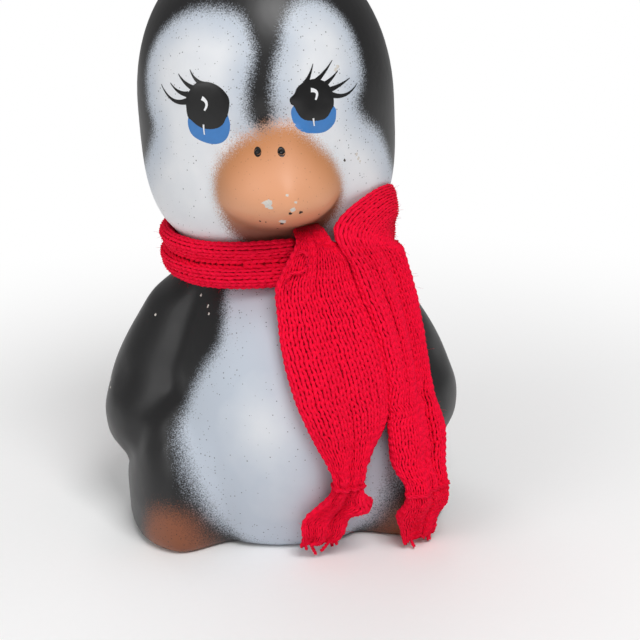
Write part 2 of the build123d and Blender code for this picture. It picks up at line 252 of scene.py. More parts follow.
def airbrushed_ceramic(paint):
    """Slip-cast ceramic under sprayed matt colours and a satin sealer.

    The sprayed edges break up into grain and stray droplets, and the sealer gives broad soft highlights.
    Painted shade darkens the underside of the beak and the top of the belly under the scarf.
    """
    material, tree, shader = new_material("airbrushed_ceramic")
    place = node(tree, "TexCoord").outputs["Object"]
    grain, drift = (node(tree, "TexNoise", None,
                         {"Vector": place, "Scale": 1 / (size * MM), "Detail": detail}).outputs["Fac"]
                    for size, detail in ((0.34, 2.0), (9, 3.0)))
    cells = node(tree, "TexVoronoi", None, {"Vector": place, "Scale": 1 / paint.droplet})
    chance, plump, _ = node(tree, "SeparateColor", None, {0: cells.outputs["Color"]}).outputs
    jitter = node(tree, "MapRange", None, {0: grain, 1: 0.3, 2: 0.7, 3: -0.6, 4: 0.6}).outputs[0]

    masks = {}
    fields = {}
    for region in ("white", "beak", "foot"):
        field = node(tree, "Attribute", {"attribute_name": region}).outputs["Fac"]
        rough_edge = node(tree, "Math", {"operation": "ADD"}, {0: field, 1: jitter}).outputs[0]
        masks[region] = node(tree, "MapRange", {"interpolation_type": "SMOOTHSTEP"},
                             {0: rough_edge, 1: -1.0, 2: 1.0}).outputs[0]
        fields[region] = field

    # Droplets of black lie on the white, thickest along the sprayed edge
    cool_and_shade = node(tree, "Attribute", {"attribute_name": "cool_and_shade"}).outputs["Fac"]
    sparse = node(tree, "MapRange", None, {0: cool_and_shade, 3: 0.12, 4: 0.0}).outputs[0]
    density = node(tree, "MapRange", None,
                   {0: fields["white"], 1: 0.0, 2: 4.0, 3: 0.55, 4: sparse}).outputs[0]
    lands = node(tree, "Math", {"operation": "LESS_THAN"}, {0: chance, 1: density}).outputs[0]
    size = node(tree, "MapRange", None, {0: plump, 3: 0.1, 4: 0.33}).outputs[0]
    dot = node(tree, "Math", {"operation": "LESS_THAN"}, {0: cells.outputs["Distance"], 1: size}).outputs[0]
    droplet = node(tree, "Math", {"operation": "MULTIPLY"}, {0: lands, 1: dot}).outputs[0]
    clean = node(tree, "MapRange", None, {0: masks["beak"], 3: 0.65, 4: 0.2}).outputs[0]
    droplet = node(tree, "Math", {"operation": "MULTIPLY"}, {0: droplet, 1: clean}).outputs[0]

    # Thin mist greys and cools the white well inside its edge, and all over the belly; at the top of the
    # belly, under the scarf, the greying is painted shade
    mist = node(tree, "MapRange", {"interpolation_type": "SMOOTHSTEP"},
                {0: fields["white"], 1: 0.5, 2: 4.5, 3: 0.7, 4: 0.0}).outputs[0]
    mist = node(tree, "Math", {"operation": "ADD"}, {0: mist, 1: cool_and_shade}).outputs[0]
    mist = node(tree, "Math", {"operation": "MULTIPLY_ADD", "use_clamp": True},
                {0: drift, 1: 0.4, 2: mist}).outputs[0]
    white = node(tree, "Mix", {"data_type": "RGBA"},
                 {0: mist, 6: paint.white, 7: paint.cool_white}).outputs[2]
    body = node(tree, "Mix", {"data_type": "RGBA"}, {0: masks["white"], 6: paint.black, 7: white}).outputs[2]
    depth = node(tree, "MapRange", {"interpolation_type": "SMOOTHSTEP"},
                 {0: fields["beak"], 1: -0.5, 2: 4.0}).outputs[0]
    orange = node(tree, "Mix", {"data_type": "RGBA"},
                  {0: depth, 6: paint.beak_edge, 7: paint.beak}).outputs[2]
    # Darker towards the underside of the beak: partly sprayed brown orange, partly painted shade
    height = node(tree, "SeparateXYZ", None, {0: place}).outputs[2]
    shade_under_beak = node(tree, "MapRange", {"interpolation_type": "SMOOTHSTEP"},
                 {0: height, 1: 87 * MM, 2: 101 * MM, 3: 1.0, 4: 0.0}).outputs[0]
    orange = node(tree, "Mix", {"data_type": "RGBA"}, {0: shade_under_beak, 6: orange, 7: paint.beak_underside_paint_and_shade}).outputs[2]
    bare = node(tree, "Attribute", {"attribute_name": "bare"}).outputs["Fac"]
    final = body
    for mask, coat in ((masks["beak"], orange), (masks["foot"], paint.foot), (droplet, paint.black),
                       (bare, paint.bare)):
        final = node(tree, "Mix", {"data_type": "RGBA"}, {0: mask, 6: final, 7: coat}).outputs[2]

    gloss = node(tree, "MapRange", None, {0: masks["white"], 3: 0.36, 4: 0.5}).outputs[0]
    roughness = node(tree, "Math", {"operation": "MULTIPLY_ADD"}, {0: drift, 1: 0.16, 2: gloss}).outputs[0]
    bump = node(tree, "Bump", None,
                {"Height": grain, "Strength": 0.35, "Distance": 0.05 * MM}).outputs["Normal"]
    tree.links.new(final, shader.inputs["Base Color"])
    tree.links.new(roughness, shader.inputs["Roughness"])
    tree.links.new(bump, shader.inputs["Normal"])
    shader.inputs["Coat Weight"].default_value = 0.16
    shader.inputs["Coat Roughness"].default_value = 0.28
    return material


def mottled(name, tone, darkest, grain, detail, relief, roughness):
    """Uneven surface between a tone and its darkest share, with a grain in millimetres.

    relief holds the strength of its bumps and their height in millimetres.
    """
    material, tree, shader = new_material(name)
    place = node(tree, "TexCoord").outputs["Object"]
    fleck = node(tree, "TexNoise", None,
                 {"Vector": place, "Scale": 1 / (grain * MM), "Detail": detail}).outputs["Fac"]
    darker = [c * darkest for c in tone[:3]] + [1.0]
    shade = node(tree, "Mix", {"data_type": "RGBA"}, {0: fleck, 6: darker, 7: tone}).outputs[2]
    strength, height = relief
    bump = node(tree, "Bump", None,
                {"Height": fleck, "Strength": strength, "Distance": height * MM}).outputs["Normal"]
    tree.links.new(shade, shader.inputs["Base Color"])
    tree.links.new(bump, shader.inputs["Normal"])
    shader.inputs["Roughness"].default_value = roughness
    return material


def brushed_enamel(name, tone, roughness):
    """Craft enamel laid on with a small brush: smooth, a little uneven, with a soft shine."""
    return mottled(name, tone, darkest=0.82, grain=1.4, detail=4.0, relief=(0.3, 0.06), roughness=roughness)


def bare_clay(name, tone):
    """Fired clay or dirt in a chip: matt and crumbly."""
    return mottled(name, tone, darkest=0.62, grain=0.5, detail=3.0, relief=(0.6, 0.1), roughness=0.9)


def shaded_yarn_backing(knit):
    """The yarn seen deep between the stitches, coloured dark red as painted shade, and fluffy."""
    return mottled("shaded_yarn_backing", knit.tint_and_shade_red, darkest=0.6, grain=0.5, detail=4.0, relief=(0.8, 0.2),
                   roughness=0.95)


def acrylic_yarn(knit):
    """Dyed plied acrylic yarn: matt, with a soft sheen, twisted plies, a varied tint and painted shade in the
    grooves between the plies.

    The attribute yarn holds the turn round the strand, the place along it and a random tint.
    """
    material, tree, shader = new_material("acrylic_yarn")
    yarn = node(tree, "Attribute", {"attribute_name": "yarn"}).outputs["Vector"]
    parts = node(tree, "SeparateXYZ", None, {0: yarn})
    plies = 3
    turn = node(tree, "Math", {"operation": "MULTIPLY"}, {0: parts.outputs[0], 1: 2 * pi * plies}).outputs[0]
    twist = node(tree, "Math", {"operation": "MULTIPLY_ADD"},
                 {0: parts.outputs[1], 1: 6.0, 2: turn}).outputs[0]
    ply = node(tree, "Math", {"operation": "SINE"}, {0: twist}).outputs[0]
    place = node(tree, "TexCoord").outputs["Object"]
    fluff = node(tree, "TexNoise", None,
                 {"Vector": place, "Scale": 1 / (0.3 * MM), "Detail": 4.0}).outputs["Fac"]
    height = node(tree, "Math", {"operation": "MULTIPLY_ADD"}, {0: ply, 1: 0.4, 2: fluff}).outputs[0]
    tint = node(tree, "MapRange", None, {0: parts.outputs[2], 3: 0.0, 4: 0.15}).outputs[0]
    # Painted shade: darker red in the grooves between the plies
    groove_shade = node(tree, "MapRange", None, {0: ply, 1: -1.0, 2: -0.2, 3: 0.12, 4: 0.0}).outputs[0]
    tint_and_groove_shade = node(tree, "Math", {"operation": "ADD"}, {0: tint, 1: groove_shade}).outputs[0]
    shade = node(tree, "Mix", {"data_type": "RGBA"}, {0: tint_and_groove_shade, 6: knit.red, 7: knit.tint_and_shade_red}).outputs[2]
    bump = node(tree, "Bump", None,
                {"Height": height, "Strength": 0.7, "Distance": 0.14 * MM}).outputs["Normal"]
    tree.links.new(shade, shader.inputs["Base Color"])
    tree.links.new(bump, shader.inputs["Normal"])
    shader.inputs["Roughness"].default_value = 0.9
    shader.inputs["Specular IOR Level"].default_value = 0.2
    shader.inputs["Sheen Weight"].default_value = 0.25
    shader.inputs["Sheen Roughness"].default_value = 0.4
    shader.inputs["Sheen Tint"].default_value = knit.red
    return material


def pale_paper(tone):
    """Plain paper sweep: matt, with a faint tooth, and white away from the figurine and its shadow."""
    material, tree, shader = new_material("pale_paper")
    place = node(tree, "TexCoord").outputs["Object"]
    tooth = node(tree, "TexNoise", None, {"Vector": place, "Scale": 1 / (2 * MM)}).outputs["Fac"]
    paler = [min(1.0, c * 1.02) for c in tone[:3]] + [1.0]
    shade = node(tree, "Mix", {"data_type": "RGBA"}, {0: tooth, 6: tone, 7: paler}).outputs[2]
    tree.links.new(shade, shader.inputs["Base Color"])
    shader.inputs["Roughness"].default_value = 0.9
    away = node(tree, "VectorMath", {"operation": "LENGTH"}, {0: place}).outputs["Value"]
    fade = node(tree, "MapRange", {"interpolation_type": "SMOOTHSTEP"},
                {0: away, 1: 60 * MM, 2: 260 * MM}).outputs[0]
    seen = node(tree, "LightPath").outputs["Is Camera Ray"]
    white = node(tree, "Math", {"operation": "MULTIPLY"}, {0: fade, 1: seen}).outputs[0]
    glow = node(tree, "Emission", None, {"Strength": 1.0}).outputs[0]
    sweep = node(tree, "MixShader", None, {0: white, 1: shader.outputs[0], 2: glow}).outputs[0]
    tree.links.new(sweep, tree.nodes["Material Output"].inputs["Surface"])
    return material


# Casting: outlines of the sprayed colours, as bearing and height on the casting

WHITE_FACE = (
    (-16, 146.5), (-34, 148.2), (-50, 146.8), (-62, 142.6), (-68.5, 137.6), (-71, 132), (-70, 126.5),
    (-68, 121.5), (-65, 115.8), (-73, 108.5), (-82, 104), (-95, 99), (-102, 91), (-98, 82), (-60, 76),
    (0, 74), (60, 76), (84, 82), (88, 91), (78, 98), (69, 102.5), (63, 107.5), (56, 112.8), (48, 116.5),
    (43, 119.9), (42.5, 123.3), (46.5, 127.5), (48, 132), (48, 137.2), (46.5, 141.8), (42, 146), (34, 149),
    (24, 149.5), (14, 147.4), (8.3, 144), (6, 140), (2.4, 135.6), (0.3, 131), (-0.3, 126), (-0.4, 121.8),
    (-3, 118.6), (-8, 118.3), (-12.5, 121.5), (-13.2, 126), (-11.8, 131.5), (-9.3, 136), (-9.4, 140.5),
)
WHITE_BELLY = (
    (-35, 72), (-32.5, 65.5), (-31.5, 59), (-37.5, 52), (-42.5, 44.5), (-44.8, 37.5), (-43.5, 33),
    (-40.7, 28.7), (-37, 22), (-33.4, 15), (-30, 8), (-24, 3), (-10, -1.5), (10, -1.5), (24, 1.5), (31, 5),
    (34, 13), (38, 23), (43, 32), (44.5, 38), (41, 46), (36, 53), (31, 60), (33, 66), (36, 73), (0, 78),
)
BEAK = (
    (-28.5, 108.5), (-30.5, 102), (-29.8, 94.7), (-26, 88), (-15, 83), (2, 82), (17, 84), (26, 89.5),
    (31, 95.5), (30, 102.3), (25, 109), (18.5, 114), (13, 117.4), (7.5, 119.6), (0, 119.8), (-7, 118.6),
    (-15.5, 116.6), (-22, 113.5),
)
LEFT_FOOT = ((-53, 7), (-48.5, 12.5), (-42.5, 14), (-37.5, 11.5), (-35, 6), (-34, -2), (-44, -5), (-55, -3))
RIGHT_FOOT = ((34, -2), (34.5, 5), (37, 10), (43, 13.5), (49, 12), (53, 6), (55, -3), (44, -5))


def unrolled(outline, radius):
    """Outline of bearings and heights, laid flat."""
    flat = np.asarray(outline, float)
    return rounded(np.stack([np.radians(flat[:, 0]) * radius, flat[:, 1]], 1))


def casting_levels(height):
    """Heights of the rings of the skin, closer together over the crown."""
    shoulder = height - 12.0
    wall = np.linspace(0.03, shoulder, 214)
    crown = shoulder + (height - 0.02 - shoulder) * np.sin(np.linspace(0, pi / 2, 36)[1:])
    return np.concatenate([[0.005], wall, crown])


NOSTRIL_HEIGHT = 114.0
NOSTRIL_BEARINGS = (-8.3, 0.9)


def softened(wall):
    """Fills the crease between belly and legs, evens out the nostrils and adds the beak's keel."""
    x, y, z = np.moveaxis(wall, 2, 0)
    radius = np.hypot(x, y)
    bearing = np.degrees(np.arctan2(x - lean_at(z), -y))
    even = radius.copy()
    for _ in range(60):
        even = (np.roll(even, 1, 1) + 2 * even + np.roll(even, -1, 1)) / 4
    crease = np.exp(-((np.abs(bearing) - 33) / 9) ** 2)
    crease = crease * np.clip((z - 8) / 14, 0, 1) * np.clip((60 - z) / 15, 0, 1)
    filled = radius + crease * np.maximum(0, even - radius)
    level = np.full_like(radius, np.inf)
    for middle in NOSTRIL_BEARINGS:
        level = np.minimum(level, np.hypot((bearing - middle) * 0.66, z - NOSTRIL_HEIGHT))
    flat = np.clip(2.6 - level, 0, 1)
    smooth = filled.copy()
    for _ in range(12):
        smooth = np.maximum(filled, (np.roll(smooth, 1, 1) + np.roll(smooth, -1, 1)
                                     + np.roll(smooth, 1, 0) + np.roll(smooth, -1, 0)) / 4)
    filled += flat * (smooth - filled)
    filled += 0.9 * np.exp(-((bearing - 2) / 4.5) ** 2 - ((z - 101) / 7) ** 2)
    scale = filled / radius
    return np.stack([x * scale, y * scale, z], 2)


def outer_skin(source, columns=320):
    """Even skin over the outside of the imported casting, from its flat base to its crown."""
    tree = tree_of(source)
    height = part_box(source.name)[1].z / MM
    bearings = np.radians(np.arange(columns) * 360 / columns + 180)
    rings = []
    for z in casting_levels(height):
        ring = []
        for b in bearings:
            out = Vector((sin(b), -cos(b), 0))
            start = out * RAY_START * MM + Vector((0, 0, z * MM))
            ring.append(tree.ray_cast(start, -out)[0] / MM)
        rings.append(ring)
    wall = softened(np.array(rings))
    base = [np.concatenate([wall[0][:, :2] * share, np.zeros((columns, 1))], 1)
            for share in np.linspace(0.02, 0.985, 14)]
    points = np.concatenate([np.concatenate(base), wall.reshape(-1, 3)])
    return points, closed_grid(len(base) + len(wall), columns)


def cut_away(casting, cutter):
    """Cuts a shape out of the casting."""
    select_only(casting)
    cut = casting.modifiers.new("cut", "BOOLEAN")
    cut.operation = "DIFFERENCE"
    cut.object = cutter
    bpy.ops.object.modifier_apply(modifier=cut.name)
    bpy.data.objects.remove(cutter)


def cut_openings(casting):
    """Firing vent in the base, and the two shallow nostrils."""
    vent_offset = 12.0
    vent_radius = 1.75
    vent_depth = 4.5
    nostril_radius = 0.9
    nostril_lift = 0.2
    tree = tree_of(casting)
    bpy.ops.object.select_all(action="DESELECT")
    bpy.ops.mesh.primitive_cylinder_add(vertices=32, radius=vent_radius * MM, depth=2 * vent_depth * MM,
                                        location=(0, vent_offset * MM, 0))
    cut_away(casting, bpy.context.active_object)
    for bearing in NOSTRIL_BEARINGS:
        place = on_skin(tree, bearing, NOSTRIL_HEIGHT, nostril_lift * MM) * MM
        bpy.ops.object.select_all(action="DESELECT")
        bpy.ops.mesh.primitive_uv_sphere_add(segments=20, ring_count=12, radius=nostril_radius * MM,
                                             location=place)
        cut_away(casting, bpy.context.active_object)


def spray_fields(casting, paint):
    """Stores how deep each point lies in the sprayed colours, in half widths of their edges."""
    points = np.empty(len(casting.data.vertices) * 3, np.float32)
    casting.data.vertices.foreach_get("co", points)
    points = points.reshape(-1, 3).astype(float) / MM
    bearing = np.arctan2(points[:, 0] - lean_at(points[:, 2]), -points[:, 1])
    z = points[:, 2]

    def depth(outline, radius, feather):
        return inside_distance(np.stack([bearing * radius, z], 1), unrolled(outline, radius)) * MM / feather

    face = depth(WHITE_FACE, FACE_RADIUS, paint.face_feather)
    belly = depth(WHITE_BELLY, BELLY_RADIUS, paint.belly_feather)
    face[z < NECK_HEIGHT] = NOWHERE
    belly[z >= NECK_HEIGHT] = NOWHERE
    left_foot, right_foot = (depth(outline, FOOT_RADIUS, paint.foot_feather)
                             for outline in (LEFT_FOOT, RIGHT_FOOT))
    # A paler patch shows in the middle of the bluish belly, and painted shade greys the belly towards its
    # top, under the scarf
    patch = np.exp(-((np.degrees(bearing) + 11) / 9) ** 2 - ((z - 39) / 9) ** 2)
    # Painted shade under the scarf: the belly greys towards its top
    upper = np.clip((z - 45) / 25, 0, 1)
    store(casting, "cool_and_shade", np.where(z < NECK_HEIGHT, 0.7 + 0.3 * upper - 0.5 * patch, 0.0))
    store(casting, "white", np.maximum(face, belly))
    store(casting, "beak", depth(BEAK, BEAK_RADIUS, paint.beak_feather))
    store(casting, "foot", np.maximum(left_foot, right_foot))
    store(casting, "bare", (z < 0.004).astype(float))


class FIGURINE_OT_casting(bpy.types.Operator):
    """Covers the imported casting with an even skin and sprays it"""

    bl_idname = "figurine.casting"
    bl_label = "Painted casting"

    def execute(self, context):
        source = frame["nodes"]["ceramic_casting"]
        paint = context.scene.figurine_paint
        points, faces = outer_skin(source)
        casting = new_piece("painted_casting", points, faces, airbrushed_ceramic(paint))
        cut_openings(casting)
        spray_fields(casting, paint)
        select_only(casting)
        bpy.ops.object.shade_smooth_by_angle(angle=radians(50))
        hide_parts("ceramic_casting")
        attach(casting, BODY)
        return {"FINISHED"}


# Brushed-on paint: films that follow the casting, as bearing and height

LEFT_EYE = ((-42.9, 124), (-41.8, 120.8), (-36.5, 118.4), (-30, 118), (-24.5, 119.3), (-22, 122.5),
            (-21, 126), (-23, 128.2), (-27, 129.9), (-32, 130.6), (-37.5, 130.1), (-41, 128), (-42.9, 126))
LEFT_IRIS = ((-42.2, 120.5), (-41.3, 117), (-37, 115.2), (-30.7, 114.4), (-25.5, 115), (-22.2, 117.2),
             (-21.4, 120.8), (-25, 124), (-38, 124))
RIGHT_EYE = ((9.2, 124), (10, 122.3), (12.8, 120.2), (19, 119.2), (25.3, 119.8), (28.6, 122.4), (29.2, 125.2),
             (28, 127.8), (25.5, 129.4), (21, 130.4), (15.5, 130), (11.5, 128.7), (9.8, 127.2), (7.4, 126),
             (7.8, 124.6))
RIGHT_IRIS = ((8.1, 123.3), (8.4, 119.8), (11.2, 117.6), (17.3, 116.4), (23.8, 116.4), (28.6, 118.2),
              (29.9, 120.6), (29.4, 122.4), (24, 125), (13, 125))
# Root, bend and tip of each lash
LEFT_LASHES = (
    ((-42.5, 125.2), (-51, 123.4), (-58.1, 128.6)),
    ((-41.5, 127.0), (-47.5, 126.8), (-52.1, 129.4)),
    ((-38.5, 128.6), (-44.0, 129.6), (-47.6, 132.0)),
    ((-33.5, 129.8), (-38.6, 130.6), (-41.2, 133.4)),
)
RIGHT_LASHES = (
    ((15.5, 129.4), (18.2, 131.0), (20.8, 134.2)),
    ((20.0, 129.4), (25.5, 131.2), (31.4, 134.4)),
    ((24.5, 128.4), (29.0, 129.6), (33.5, 131.6)),
    ((26.5, 127.0), (33.0, 127.6), (39.6, 129.2)),
    ((27.5, 126.0), (36.0, 123.6), (43.5, 127.4)),
)
LIGHTS = (
    ((-34.4, 126.4), (-30.4, 125.4), (-33.3, 123.2)),
    ((18.0, 127.7), (22.6, 127.4), (19.8, 125.1)),
)
TICKS = (
    ((-34.1, 119.5), (-34.2, 118.2), (-34.0, 116.8)),
    ((18.0, 120.4), (18.1, 119.4), (18.4, 118.3)),
)


def on_skin(tree, bearing, z, lift):
    """Point on the casting at a bearing and height, lifted off it."""
    b = radians(bearing)
    out = Vector((sin(b), -cos(b), 0))
    axis = Vector((lean_at(z) * MM, 0, z * MM))
    place, normal, _, _ = tree.ray_cast(axis + out * RAY_START * MM, -out)
    return (place + normal * lift) / MM


def film(tree, name, outline, thickness, material, rings=9):
    """Patch of brushed paint that fills an outline: domed, and thin at its rim."""
    middle = outline.mean(0)
    points = [on_skin(tree, *middle, thickness)]
    for ring in range(1, rings + 1):
        share = ring / rings
        lift = thickness * (1 - 0.8 * max(0.0, share - 0.85) / 0.15)
        points += [on_skin(tree, *(middle + (place - middle) * share), lift) for place in outline]
    count = len(outline)
    faces = [[0, 1 + j, 1 + (j + 1) % count] for j in range(count)]
    for face in quads(rings, count):
        faces.append([1 + k for k in face[::-1]])
    return new_piece(name, points, faces, material)


def stroke(path, root_width, tip_width, steps=14, across=4):
    """Brush stroke through a root, a bend and a tip, as rows of bearings and heights."""
    root, bend, tip = np.asarray(path, float)
    rows = []
    for t in np.linspace(0, 1, steps):
        middle = (1 - t) ** 2 * root + 2 * t * (1 - t) * bend + t ** 2 * tip
        heading = (1 - t) * (bend - root) + t * (tip - bend)
        heading[0] *= radians(FACE_RADIUS)
        side = np.array([-heading[1], heading[0]]) / np.linalg.norm(heading)
        side[0] /= radians(FACE_RADIUS)
        width = root_width + (tip_width - root_width) * t ** 0.8
        rows.append([middle + side * width * s for s in np.linspace(-0.5, 0.5, across)])
    return np.array(rows)


def strokes(tree, name, paths, root_width, tip_width, lift, material):
    """Brush strokes as one thin film that follows the casting."""
    points = []
    faces = []
    for path in paths:
        rows = stroke(path, root_width, tip_width)
        steps, across, _ = rows.shape
        first = len(points)
        points += [on_skin(tree, bearing, z, lift) for bearing, z in rows.reshape(-1, 2)]
        for i in range(steps - 1):
            for j in range(across - 1):
                corner = first + i * across + j
                faces.append([corner, corner + 1, corner + across + 1, corner + across])
    return new_piece(name, points, faces, material)


def outward(made):
    """Turns the faces of an open film away from the axis of the figurine."""
    mesh = made.data
    lean = sum((p.normal.x * p.center.x + p.normal.y * p.center.y) * p.area for p in mesh.polygons)
    if lean < 0:
        mesh.flip_normals()


def put_on_casting(made):
    outward(made)
    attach(made, BODY)


class FIGURINE_OT_eyes(bpy.types.Operator):
    """Brushes the eyes, lashes and nostrils on to the casting"""

    bl_idname = "figurine.eyes"
    bl_label = "Painted eyes"

    def execute(self, context):
        paint = context.scene.figurine_paint
        tree = tree_of(bpy.data.objects["painted_casting"])
        black = brushed_enamel("black_enamel", paint.black, 0.3)
        blue = brushed_enamel("blue_enamel", paint.iris, 0.42)
        white = brushed_enamel("white_enamel", linear("F4F6F8"), 0.4)
        thin = paint.film * 0.6
        for side, iris, eye, lashes in (("left", LEFT_IRIS, LEFT_EYE, LEFT_LASHES),
                                        ("right", RIGHT_IRIS, RIGHT_EYE, RIGHT_LASHES)):
            put_on_casting(film(tree, f"{side}_iris", rounded(iris, 6), thin, blue))
            put_on_casting(film(tree, f"{side}_eye", rounded(eye, 5), 2 * thin, black))
            put_on_casting(strokes(tree, f"{side}_lashes", lashes, 1.7, 0.18, thin, black))
        put_on_casting(strokes(tree, "eye_lights", LIGHTS, 1.15, 0.5, 3 * thin, white))
        put_on_casting(strokes(tree, "eye_ticks", TICKS, 0.5, 0.3, 3 * thin, white))
        for side, bearing in zip(("left", "right"), NOSTRIL_BEARINGS):
            circle = [(bearing + 1.5 * cos(a), NOSTRIL_HEIGHT + 1.05 * sin(a))
                      for a in np.arange(16) * pi / 8]
            put_on_casting(film(tree, f"{side}_nostril", np.array(circle), thin, black, rings=8))
        return {"FINISHED"}


# Wear: bearing, height and radius of chips, and of dirt in small pits

CHIPS = ((-5.5, 102.6, 1.2), (-4.4, 101.6, 0.6), (2.6, 101.0, 0.8), (3.6, 102.8, 0.45), (-0.6, 96.6, 0.9),
         (1.0, 104.8, 0.4), (40.4, 108.6, 0.6), (41.6, 107.4, 0.55), (42.6, 106.4, 0.4), (32.5, 131.8, 0.8),
         (33.8, 132.6, 0.6), (-57, 68, 0.5), (-47.4, 66.2, 0.55), (-44.3, 64.8, 0.4), (-76, 61, 0.4),
         (-88, 39.3, 0.55), (-84, 38.4, 0.35), (-92, 37.2, 0.4), (78, 66, 0.9), (81, 64.4, 0.5),
         (86, 58, 0.35))
PITS = ((5.4, 99.6, 0.55), (1.7, 99.8, 0.45), (-0.9, 95.6, 0.6), (-8.7, 96.4, 0.4), (-6.6, 96.2, 0.3),
        (-2.2, 92.0, 0.4), (33.3, 107.8, 0.5), (14, 96.6, 0.25))
SPOT_CORNERS = 10
SPOT_RADIUS = 36        # usual distance of a spot from the figurine's axis


class FIGURINE_OT_wear(bpy.types.Operator):
    """Adds chipped paint and small pits"""

    bl_idname = "figurine.wear"
    bl_label = "Chips and pits"

    def execute(self, context):
        paint = context.scene.figurine_paint
        tree = tree_of(bpy.data.objects["painted_casting"])
        chance = np.random.default_rng(7)
        for name, spots, material in (("chip", CHIPS, bare_clay("chipped_clay", paint.bare)),
                                      ("pit", PITS, bare_clay("dirty_pit", paint.pit))):
            for number, (bearing, z, radius) in enumerate(spots):
                turns = np.arange(SPOT_CORNERS) * 2 * pi / SPOT_CORNERS
                reach = radius * chance.uniform(0.5, 1.15, SPOT_CORNERS)
                outline = np.stack([bearing + np.degrees(reach * np.cos(turns) / SPOT_RADIUS),
                                    z + reach * np.sin(turns)], 1)
                put_on_casting(film(tree, f"{name}_{number:02d}", outline, paint.film * 0.4,
                                    material, rings=2))
        return {"FINISHED"}


# Scarf: closed cloth surfaces, knitted over with single stitch legs


SECTION_POINTS = 72     # points read round a section of a tail
BAND_ENDS = (92.0, 366.0)               # bearings between which the band is seen
# How far the band is drawn in and lowered, at bearings round the neck
BAND_BEARINGS = (0, 60, 120, 180, 250, 310, 345, 360)
BAND_EASE = (0.6, 0.6, 1.4, 2.0, 2.4, 2.4, 1.2, 0.6)
BAND_SAG = (0.0, 0.0, 1.2, 2.6, 3.0, 2.2, 0.6, 0.0)
BAND_GAP = 0.35


class Cloth:
    """Closed strip of cloth. Rows run along the strip, columns go round its section."""

    def __init__(self, points):
        self.points = points
        along = np.gradient(points, axis=0)
        around = np.roll(points, -1, 1) - np.roll(points, 1, 1)
        normal = np.cross(around, along)
        normal /= np.linalg.norm(normal, axis=2, keepdims=True) + 1e-9
        outwards = ((points - points.mean(1, keepdims=True)) * normal).sum()
        self.normals = normal if outwards > 0 else -normal

    def at(self, around, along, height):
        """Places at shares round and along the strip, lifted off the cloth."""
        rows, columns, _ = self.points.shape
        i = np.clip(along, 0, 0.9999) * (rows - 1)
        j = (np.asarray(around) % 1.0) * columns
        i0 = i.astype(int)
        j0 = j.astype(int) % columns
        j1 = (j0 + 1) % columns
        di = (i - i0)[..., None]
        dj = (j - np.floor(j))[..., None]

        def mixed(grid):
            upper = grid[i0, j0] * (1 - dj) + grid[i0, j1] * dj
            lower = grid[i0 + 1, j0] * (1 - dj) + grid[i0 + 1, j1] * dj
            return upper * (1 - di) + lower * di

        return mixed(self.points) + mixed(self.normals) * np.asarray(height)[..., None]

    def backing(self, inset):
        """Points and faces of the cloth itself, with closed ends."""
        rows, columns, _ = self.points.shape
        return (self.points - self.normals * inset).reshape(-1, 3), closed_grid(rows, columns)


def lengths_along(path):
    """Distance of each point of a path from its start."""
    return np.concatenate([[0], np.cumsum(np.linalg.norm(np.diff(path, axis=0), axis=1))])


def places_along(path, run, marks):
    """Places on a path at distances from its start."""
    return np.stack([np.interp(marks, run, column) for column in path.T], 1)


def even_rings(rings, columns):
    """Rings of points spaced evenly round their length."""
    result = []
    for ring in rings:
        loop = np.concatenate([ring, ring[:1]])
        run = lengths_along(loop)
        result.append(places_along(loop, run, np.arange(columns) * run[-1] / columns))
    return np.array(result)


def hanging_cloth(source, rows=64, columns=60):
    """Surface of a hanging tail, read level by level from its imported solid."""
    tree = tree_of(source)
    low, high = (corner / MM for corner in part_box(source.name))
    sweep = np.radians(np.arange(-20, 85, 0.4))
    end_margin = 0.15

    def crossing(b, z, outer):
        out = Vector((sin(b), -cos(b), 0))
        level = Vector((0, 0, z * MM))
        start = level + out * (RAY_START * MM if outer else 0.0)
        return tree.ray_cast(start, -out if outer else out)[0]

    rings = []
    for z in np.linspace(high.z - end_margin, low.z + end_margin, rows):
        touched = [b for b in sweep if crossing(b, z, True) is not None]
        middle = (touched[0] + touched[-1]) / 2
        half = (touched[-1] - touched[0]) / 2
        turns = np.arange(SECTION_POINTS) * 2 * pi / SECTION_POINTS + pi / SECTION_POINTS
        rings.append(np.array([crossing(middle - half * cos(turn), z, turn < pi) / MM for turn in turns]))
    return even_rings(rings, columns)


def wrapped_cloth(source, rows=150, columns=40):
    """Surface of the neck band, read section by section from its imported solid."""
    tree = tree_of(source)
    low, high = (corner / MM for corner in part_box(source.name))
    core_z = (low.z + high.z) / 2 - 1.2
    rings = []
    for b in np.radians(np.linspace(*BAND_ENDS, rows)):
        out = Vector((sin(b), -cos(b), 0))
        core = Vector((0, 0, core_z * MM))
        outer = tree.ray_cast(core + out * RAY_START * MM, -out)[0]
        inner = tree.ray_cast(core, out)[0]
        core = (outer + inner) / 2
        ring = []
        for turn in np.arange(80) * 2 * pi / 80:
            way = out * cos(turn) + Vector((0, 0, sin(turn)))
            ring.append(tree.ray_cast(core, way)[0] / MM)
        rings.append(np.array(ring))
    return even_rings(rings, columns)


def even_rows(points, rows):
    """Rings spaced evenly along the middle of a strip."""
    steps = np.linalg.norm(np.diff(points.mean(1), axis=0), axis=1)
    run = np.concatenate([[0], np.cumsum(steps)])
    marks = np.linspace(0, run[-1], rows)
    lower = np.clip(np.searchsorted(run, marks) - 1, 0, len(steps) - 1)
    share = ((marks - run[lower]) / steps[lower])[:, None, None]
    return points[lower] * (1 - share) + points[lower + 1] * share


